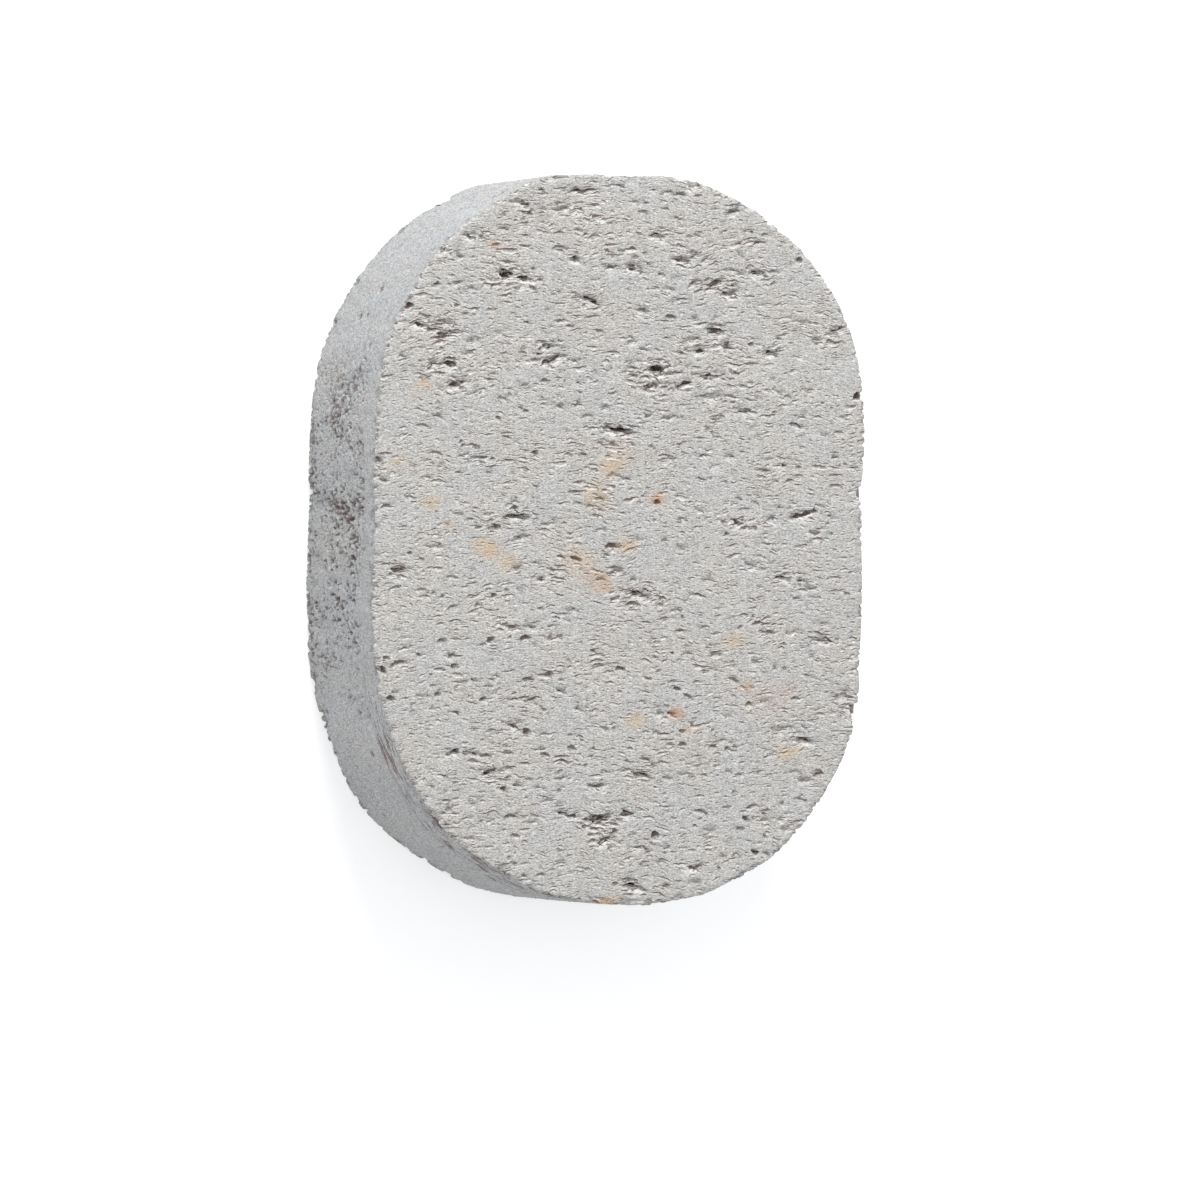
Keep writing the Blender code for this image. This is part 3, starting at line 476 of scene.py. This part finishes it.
OCHRE_BLOTS = [
    (-1.1, 9.5, 1.5, 0.50), (-3.3, 5.8, 1.8, 0.36), (0.8, -0.8, 1.3, 0.45), (-5.6, -2.6, 1.8, 0.39),
    (-18.4, -1.3, 1.5, 0.57), (-15.6, -3.0, 1.5, 0.45), (-26.1, 4.7, 0.9, 0.75), (-23.6, 1.6, 1.0, 0.30),
    (-30.8, 9.8, 0.9, 0.38), (16.0, -13.1, 1.6, 0.38), (23.5, -27.7, 1.3, 0.52), (2.0, -23.4, 1.3, 0.45),
    (-26.8, 19.9, 0.9, 0.60), (-1.9, -47.1, 1.5, 0.60), (-2.6, -5.4, 1.6, 0.30),
]
RUST_BLOTS = [
    (5.2, 5.3, 0.9, 0.75), (-3.6, -4.6, 1.3, 0.33), (-2.4, -5.9, 1.2, 0.33), (17.7, -19.1, 0.8, 0.60),
    (23.3, -19.6, 1.2, 0.24), (7.7, -22.4, 0.8, 0.75), (9.7, -24.5, 0.8, 0.60), (-17.5, 37.8, 0.9, 0.38),
    (-0.2, 11.6, 2.4, 0.15), (20.6, -20.4, 2.6, 0.12), (-27.8, 18.4, 0.7, 0.45),
]

CRACKED_FROM, CRACKED_TO = -2.6, -1.72
BLOT_SHAPE = 1.3

# Some bubbles are shallow bowls with a light floor, and some are round and run deep and dark, so each of
# these takes its own share of the shade: (x, y, half its length, share).
OWN_SHADE = [
    (-14.4, 2.8, 2.6, 0.3), (2.8, -7.2, 2.1, 0.35), (-1.0, -7.8, 1.4, 0.35), (-3.3, -31.9, 1.8, 0.4),
    (12.6, 18.5, 2.7, 0.4), (-13.8, 0.2, 1.6, 0.5), (-17.5, 1.5, 0.9, 2.2), (-9.9, -12.7, 0.9, 2.2),
    (18.9, -40.6, 0.9, 2.2), (-6.4, 36.2, 1.0, 1.8), (11.9, 21.2, 1.4, 1.8), (5.0, 22.0, 2.2, 0.5),
    (-16.0, 34.2, 1.8, 0.6), (-24.3, 21.9, 2.2, 0.5), (-5.3, 45.0, 2.3, 0.4),
]
OWN_REACH_X, OWN_REACH_Y = 0.4, 1.1
FAR_END_SHADE = 0.7
RIM_SHADE = 2.2


def keep(name, values):
    layer = stone.data.attributes.new(name, "FLOAT", "POINT")
    layer.data.foreach_set("value", np.asarray(values, np.float32))


blot_edge = 0.55 * cloud(points, (1.3, 0.9, 2), 30) + 0.35 * cloud(points, (0.6, 0.3, 2), 31)


def blots(spots):
    strength = np.zeros(len(points))
    for x, y, radius, weight in spots:
        away = np.hypot((points[:, 0] / MM - x) / BLOT_SHAPE, points[:, 1] / MM - y) / radius
        strength = np.maximum(strength, weight * (1.0 - ease(away + blot_edge, 0.2, 1.25)))
    return strength * (1.0 - ease(depth[:, 0], 1.0, 3.0))


cracked = ease(bearing, CRACKED_FROM - 0.2, CRACKED_FROM + 0.2)
cracked *= 1.0 - ease(bearing, CRACKED_TO - 0.1, CRACKED_TO + 0.1)
cracked *= on_rim * (1.0 - ease(depth[:, 0] + 2.0 * rim_clumps, 5.0, 10.0))
shade = 1.0 - (1.0 - FAR_END_SHADE) * ease(points[:, 1] / MM, 18.0, 32.0)
for x, y, half, share in OWN_SHADE:
    off_x, off_y = points[:, 0] / MM - x, points[:, 1] / MM - y
    off = np.hypot(off_x / (half + OWN_REACH_X), off_y / OWN_REACH_Y)
    shade += (share - 1.0) * (1.0 - ease(off, 0.75, 1.1)) * (opened_from == 0)
# The brown inside the holes darkens with depth: partly the bubbles' own colour and partly painted shade,
# scaled by the shares above.
hole_brown_and_shade = np.where(on_rim, np.clip(depth[:, 2] - 0.2, 0.0, None), shade * (hollow - lifted))
keep("pit_brown_and_shade_mm", np.where(on_rim, RIM_SHADE, 1.0) * (hole_brown_and_shade + opened))
keep("rim", 1.0 - ease(depth[:, 2] - np.minimum(depth[:, 0], depth[:, 1]), -0.3, 0.3))
keep("rubbed", 1.0 - rim_opening)
keep("pale", np.interp(np.degrees(bearing), rim_bearings, rim_pale))
keep("ochre", blots(OCHRE_BLOTS))
keep("rust", blots(RUST_BLOTS))
keep("cracked", cracked)
keep("company", company)
keep("slit_lip_highlight", slit_lip_highlight * (hollow < 0.25) * ~on_rim)


# ---------------------------------------------------------------------------------------------------------
# The skin is thinned where it is flat, and its light evened, so that the sawn ground between the bubbles
# reads as one plane and each torn lip keeps its edge.

TRIANGLES = 192000
thin_out = stone.modifiers.new("thin out", "DECIMATE")
thin_out.ratio = min(1.0, TRIANGLES / (2 * len(stone.data.polygons)))
thin_out.use_collapse_triangulate = True
settle(stone)

stone.data.shade_smooth()
stone.data.set_sharp_from_angle(angle=math.radians(65))
even_light = stone.modifiers.new("even light", "WEIGHTED_NORMAL")
even_light.mode = "FACE_AREA"
even_light.weight = 50
even_light.keep_sharp = True
settle(stone)


# ---------------------------------------------------------------------------------------------------------
# The finish of the froth: dull pale grey glass, its threads too fine for the skin drawn as lines of light
# and dark along X, its bubbles brown inside and darker the deeper they go, partly as painted shade, each
# cut bubble with a painted shade under its upper lip and a painted highlight on its lower one, and the
# ground rim cooler and dusty.

froth = bpy.data.materials.new("froth")
froth.use_nodes = True
tree = froth.node_tree
shader = tree.nodes["Principled BSDF"]
shader.inputs["Roughness"].default_value = 0.95
shader.inputs["Specular IOR Level"].default_value = 0.15


def node(kind, *sources, **settings):
    """Add a node, set it up, and feed its first inputs from numbers, colours or other nodes' outputs."""
    made = tree.nodes.new("ShaderNode" + kind)
    for name, value in settings.items():
        setattr(made, name, value)
    for socket, source in zip([one for one in made.inputs if one.enabled], sources):
        if isinstance(source, bpy.types.NodeSocket):
            tree.links.new(source, socket)
        elif source is not None:
            socket.default_value = source
    return made


def maths(operation, *sources):
    return node("Math", *sources, operation=operation).outputs[0]


def vector(operation, *sources):
    return node("VectorMath", *sources, operation=operation).outputs[0]


def noise_of(source, scale, detail, roughness=0.5):
    made = node("TexNoise", source, None, noise_dimensions="3D")
    made.inputs["Scale"].default_value = scale
    made.inputs["Detail"].default_value = detail
    made.inputs["Roughness"].default_value = roughness
    return made


def rise(source, start, end, low=0.0, high=1.0):
    made = node("MapRange", source, start, end, low, high, interpolation_type="SMOOTHSTEP")
    return made.outputs[0]


def kept(name):
    return node("Attribute", attribute_name=name).outputs["Fac"]


def mixed(share, first, second, how="MIX"):
    made = tree.nodes.new("ShaderNodeMix")
    made.data_type = "RGBA"
    made.blend_type = how
    for name, source in (("Factor_Float", share), ("A_Color", first), ("B_Color", second)):
        socket = next(one for one in made.inputs if one.identifier == name)
        if isinstance(source, bpy.types.NodeSocket):
            tree.links.new(source, socket)
        else:
            socket.default_value = source
    return next(one for one in made.outputs if one.identifier == "Result_Color")


in_mm = vector("MULTIPLY", node("TexCoord").outputs["Object"], (1000.0, 1000.0, 1000.0))
wave = noise_of(in_mm, 0.11, 1.0).outputs["Color"]
waved = vector("MULTIPLY_ADD", wave, (0.8, 3.4, 0.8), in_mm)
ripple = noise_of(in_mm, 0.55, 2.0).outputs["Color"]
waved = vector("MULTIPLY_ADD", ripple, (0.6, 0.9, 0.6), waved)
shiver = noise_of(in_mm, 1.5, 2.0).outputs["Color"]
curled = vector("MULTIPLY_ADD", shiver, (0.5, 0.36, 0.4), waved)
patch = noise_of(in_mm, 0.16, 2.0, 0.55).outputs["Fac"]
rim = kept("rim")
rubbed = kept("rubbed")
sunk = kept("pit_brown_and_shade_mm")
crowded = rise(kept("company"), 0.0, 0.8, -0.07, 0.28)
powdery = maths("MULTIPLY", rim, maths("MULTIPLY_ADD", rubbed, 0.5, 0.5))


def cups(cell, widest, rare, crowd):
    """Thin cut bubbles of one size: how far inside one each point lies, painted shade under its upper lip,
    painted highlight on its lower.
    """
    spots = vector("MULTIPLY", curled, tuple(1.0 / one for one in cell))
    found = node("TexVoronoi", spots, voronoi_dimensions="3D", feature="F1")
    found.inputs["Scale"].default_value = 1.0
    chance = node("SeparateColor", found.outputs["Color"]).outputs[0]
    chance = maths("MULTIPLY_ADD", maths("SUBTRACT", patch, 0.5), crowd, chance)
    chance = maths("ADD", chance, crowded)
    radius = maths("MAXIMUM", rise(chance, rare, 1.0, 0.0, widest), 0.001)
    away = maths("DIVIDE", found.outputs["Distance"], radius)
    inside = maths("MAXIMUM", maths("SUBTRACT", 1.0, maths("MULTIPLY", away, away)), 0.0)
    off = vector("SUBTRACT", spots, found.outputs["Position"])
    over = maths("DIVIDE", node("SeparateXYZ", off).outputs[1], radius)
    brink = rise(inside, 0.0, 0.25)
    shaded = maths("MULTIPLY", rise(over, 0.05, 0.6), brink)
    return inside, shaded, maths("MULTIPLY", rise(over, -0.2, -0.8), brink)


LONG_CUP, SHORT_CUP, FINE_CUP = (2.4, 0.60, 1.3), (1.2, 0.40, 0.75), (0.75, 0.26, 0.5)
long_cup, long_shade, long_highlight = cups(LONG_CUP, 0.6, 0.5, 0.5)
short_cup, short_shade, short_highlight = cups(SHORT_CUP, 0.6, 0.28, 0.5)
fine_cup, fine_shade, fine_highlight = cups(FINE_CUP, 0.6, 0.15, 0.4)
fibre = noise_of(vector("MULTIPLY", waved, (1.1, 3.8, 1.9)), 1.0, 3.0, 0.66).outputs["Fac"]
grit = noise_of(vector("MULTIPLY", in_mm, (3.6, 6.0, 5.0)), 1.0, 2.0, 0.6).outputs["Fac"]

FACE_PALE = (0.545, 0.535, 0.515, 1.0)
FACE_DIM = (0.420, 0.405, 0.385, 1.0)
RIM_PALE = (0.406, 0.415, 0.423, 1.0)
RIM_DIM = (0.285, 0.281, 0.276, 1.0)
HIGHLIGHT_WHITE = (0.74, 0.73, 0.71, 1.0)
LIP_SHADE_BROWN = (0.215, 0.150, 0.133, 1.0)
SLIT_BROWN_AND_SHADE = (0.250, 0.175, 0.157, 1.0)
DEEP_BROWN_AND_SHADE = (0.138, 0.087, 0.077, 1.0)
OCHRE = (0.62, 0.38, 0.15, 1.0)
RUST = (0.50, 0.22, 0.09, 1.0)

face_tone = mixed(rise(fibre, 0.30, 0.66), FACE_DIM, FACE_PALE)
rim_tone = mixed(rise(fibre, 0.30, 0.66), RIM_DIM, RIM_PALE)
rim_tone = mixed(1.0, rim_tone, kept("pale"), "MULTIPLY")
tone = mixed(rim, face_tone, rim_tone)
warm = mixed(rise(patch, 0.35, 0.65), (0.985, 0.995, 1.01, 1.0), (1.015, 1.0, 0.98, 1.0))
tone = mixed(1.0, tone, warm, "MULTIPLY")
speck = mixed(rise(grit, 0.25, 0.75), (0.62, 0.62, 0.62, 1.0), (1.34, 1.34, 1.34, 1.0))
tone = mixed(1.0, tone, speck, "MULTIPLY")
blot_edge = rise(fibre, 0.30, 0.64, 0.2, 1.3)
tone = mixed(maths("MULTIPLY", kept("ochre"), blot_edge), tone, OCHRE)
tone = mixed(maths("MULTIPLY", kept("rust"), blot_edge), tone, RUST)
open_share = maths("MULTIPLY_ADD", powdery, -0.8, 1.0)
# Painted shade on the upper side of each cut bubble, under its lip, and a painted highlight on its lower
# side, both weaker on the rubbed rim.
cup_shade = maths("MULTIPLY", maths("MAXIMUM", maths("MAXIMUM", long_shade, short_shade), fine_shade), 0.95)
cup_highlight = maths("MAXIMUM", maths("MAXIMUM", long_highlight, short_highlight), fine_highlight)
tone = mixed(maths("MULTIPLY", maths("MULTIPLY", cup_highlight, 0.85), open_share), tone, HIGHLIGHT_WHITE)
# Painted highlight on the lip just below each open slit.
painted_slit_highlight = maths("MULTIPLY", kept("slit_lip_highlight"), rise(fibre, 0.38, 0.55, 0.0, 0.75))
tone = mixed(painted_slit_highlight, tone, HIGHLIGHT_WHITE)
tone = mixed(maths("MULTIPLY", cup_shade, open_share), tone, LIP_SHADE_BROWN)
split = noise_of(vector("MULTIPLY", waved, (0.22, 0.22, 2.6)), 1.0, 2.0, 0.5).outputs["Fac"]
split = maths("MULTIPLY", rise(split, 0.47, 0.36), kept("cracked"))
tone = mixed(maths("MULTIPLY", split, 0.85), tone, DEEP_BROWN_AND_SHADE)
# Brown inside the bubbles, darker where they are deeper: partly their own colour and partly painted shade;
# strands across their floors keep it lighter.
strand = noise_of(vector("MULTIPLY", curled, (0.7, 3.6, 1.4)), 1.0, 2.0, 0.5).outputs["Fac"]
bared = rise(strand, 0.45, 0.60, 1.0, 0.4)
tone = mixed(maths("MULTIPLY", rise(sunk, 0.12, 0.7, 0.0, 0.85), bared), tone, SLIT_BROWN_AND_SHADE)
tone = mixed(maths("MULTIPLY", rise(sunk, 0.7, 1.8, 0.0, 0.75), bared), tone, DEEP_BROWN_AND_SHADE)
tree.links.new(tone, shader.inputs["Base Color"])

# How deep each of these is cut into the surface, or stands out of it, in mm.
LONG_CUT, SHORT_CUT, FINE_CUT, SPLIT_CUT = 0.22, 0.13, 0.08, 0.12
FIBRE_RELIEF, GRIT_RELIEF = 0.12, 0.05

cut = maths("MULTIPLY_ADD", long_cup, LONG_CUT, maths("MULTIPLY", short_cup, SHORT_CUT))
cut = maths("MULTIPLY_ADD", fine_cup, FINE_CUT, cut)
relief = maths("MULTIPLY", cut, maths("MULTIPLY", open_share, -1.0))
relief = maths("MULTIPLY_ADD", fibre, FIBRE_RELIEF, relief)
relief = maths("MULTIPLY_ADD", grit, GRIT_RELIEF, relief)
relief = maths("MULTIPLY_ADD", split, -SPLIT_CUT, relief)
bump = node("Bump")
bump.inputs["Strength"].default_value = 1.0
bump.inputs["Distance"].default_value = 1.0 * MM
tree.links.new(relief, bump.inputs["Height"])
tree.links.new(bump.outputs["Normal"], shader.inputs["Normal"])

stone.data.materials.clear()
stone.data.materials.append(froth)


# ---------------------------------------------------------------------------------------------------------
# The stone's flat pattern, for baking its finish: the two faces side by side, and under them the left and
# the right half of the rim, each unrolled to a strip. All are to one scale, on a square sheet.

SHEET_SIDE, GAP = 153.0, 1.5
RIM_RADIUS = 41.5
FACES_UP = 0.85

corners = np.empty(len(stone.data.loops), np.int32)
stone.data.loops.foreach_get("vertex_index", corners)
triangles = corners.reshape(-1, 3)
surface_at = read_points(stone)
middles = surface_at[triangles].mean(axis=1)
side_of = under_surfaces(middles).argmin(axis=1)
normals = np.empty(len(triangles) * 3, np.float32)
stone.data.polygons.foreach_get("normal", normals)
upright = normals.reshape(-1, 3)[:, 2]
side_of = np.where((side_of == 2) & (upright > FACES_UP), 0, side_of)

width, length, thickness = (np.array(cad_high) - np.array(cad_low)) / MM
spots = surface_at[triangles] / MM
flat = np.empty((len(triangles), 3, 2))
strips_top = 2 * (thickness + GAP) + GAP
for side, column in ((0, 0), (1, 1)):
    here = side_of == side
    flat[here, :, 0] = spots[here, :, 0] + width / 2 + GAP + column * (width + GAP)
    flat[here, :, 1] = spots[here, :, 1] + length / 2 + strips_top
for half, row in ((-1, 0), (1, 1)):
    here = (side_of == 2) & (np.sign(middles[:, 0]) == half)
    swing = np.arctan2(spots[here, :, 1], half * spots[here, :, 0])
    flat[here, :, 0] = swing * RIM_RADIUS + SHEET_SIDE / 2
    flat[here, :, 1] = spots[here, :, 2] + GAP + row * (thickness + GAP)
flat /= SHEET_SIDE
pattern = stone.data.uv_layers.new(name="OFBake")
pattern.data.foreach_set("uv", flat.astype(np.float32).ravel())

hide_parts("pumice_stone")
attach(stone, "root")


# ---------------------------------------------------------------------------------------------------------
# The table: a plain white sheet, lit a little from below as a light table is.

TABLE_SIDE = 8.0
SHEET_WHITE, SHEET_GLOW = (0.86, 0.86, 0.86, 1.0), 0.35

bpy.ops.mesh.primitive_plane_add(size=TABLE_SIDE)
table = bpy.context.object
table.name = "table"
sheet = bpy.data.materials.new("white_sheet")
sheet.use_nodes = True
sheet_shader = sheet.node_tree.nodes["Principled BSDF"]
sheet_shader.inputs["Base Color"].default_value = SHEET_WHITE
sheet_shader.inputs["Roughness"].default_value = 0.9
sheet_shader.inputs["Specular IOR Level"].default_value = 0.1
sheet_shader.inputs["Emission Color"].default_value = (1.0, 1.0, 1.0, 1.0)
sheet_shader.inputs["Emission Strength"].default_value = SHEET_GLOW
table.data.materials.append(sheet)


# ---------------------------------------------------------------------------------------------------------
# The light: a pale room all round, and one large soft lamp low beyond the far end of the stone.

ROOM_COLOUR, ROOM_STRENGTH = (0.97, 0.985, 1.0, 1.0), 0.86
LAMP_ACROSS, LAMP_POWER, LAMP_AWAY = 0.45, 9.5, 1.0
LAMP_WAY = Vector((-0.08, 1.0, 0.46)).normalized()

room = bpy.data.worlds.new("pale_room")
bpy.context.scene.world = room
room.use_nodes = True
backdrop = room.node_tree.nodes["Background"]
backdrop.inputs["Color"].default_value = ROOM_COLOUR
backdrop.inputs["Strength"].default_value = ROOM_STRENGTH

lamp = bpy.data.lights.new("soft_lamp", "AREA")
lamp.shape = "DISK"
lamp.size = LAMP_ACROSS
lamp.energy = LAMP_POWER
lamp_stand = bpy.data.objects.new("soft_lamp", lamp)
lamp_stand.location = LAMP_WAY * LAMP_AWAY
lamp_stand.rotation_euler = LAMP_WAY.to_track_quat("Z", "Y").to_euler()
bpy.context.scene.collection.objects.link(lamp_stand)


# ---------------------------------------------------------------------------------------------------------
# The camera looks down on the stone, a little from its left, so that the left of the rim shows.

LEFT_TURN = math.radians(21.2)
END_TILT = math.radians(0.37)
DISTANCE = 1156 * MM
PICTURE_PIXELS = 1200
PIXELS_PER_METRE = 7.73 / MM
FACE_MIDDLE = Vector((-0.34, -0.03, 26)) * MM
ASIDE_PIXELS, BELOW_PIXELS = 18.5, 60.0

back = Vector((-math.sin(LEFT_TURN) * math.cos(END_TILT), -math.sin(END_TILT),
               math.cos(LEFT_TURN) * math.cos(END_TILT)))
right = Vector((0.0, 1.0, 0.0)).cross(back).normalized()
up = back.cross(right)
camera = bpy.data.cameras.new("camera")
eye = bpy.data.objects.new("camera", camera)
bpy.context.scene.collection.objects.link(eye)
eye.location = FACE_MIDDLE + back * DISTANCE
aim = FACE_MIDDLE - right * (ASIDE_PIXELS / PIXELS_PER_METRE) - up * (BELOW_PIXELS / PIXELS_PER_METRE)
look = (eye.location - aim).normalized()
sideways = Vector((0.0, 1.0, 0.0)).cross(look).normalized()
eye.rotation_euler = Matrix((sideways, look.cross(sideways), look)).transposed().to_euler()
camera.sensor_width = 36
camera.lens = camera.sensor_width * PIXELS_PER_METRE * DISTANCE / PICTURE_PIXELS
bpy.context.scene.camera = eye
bpy.context.scene.view_settings.view_transform = "Standard"
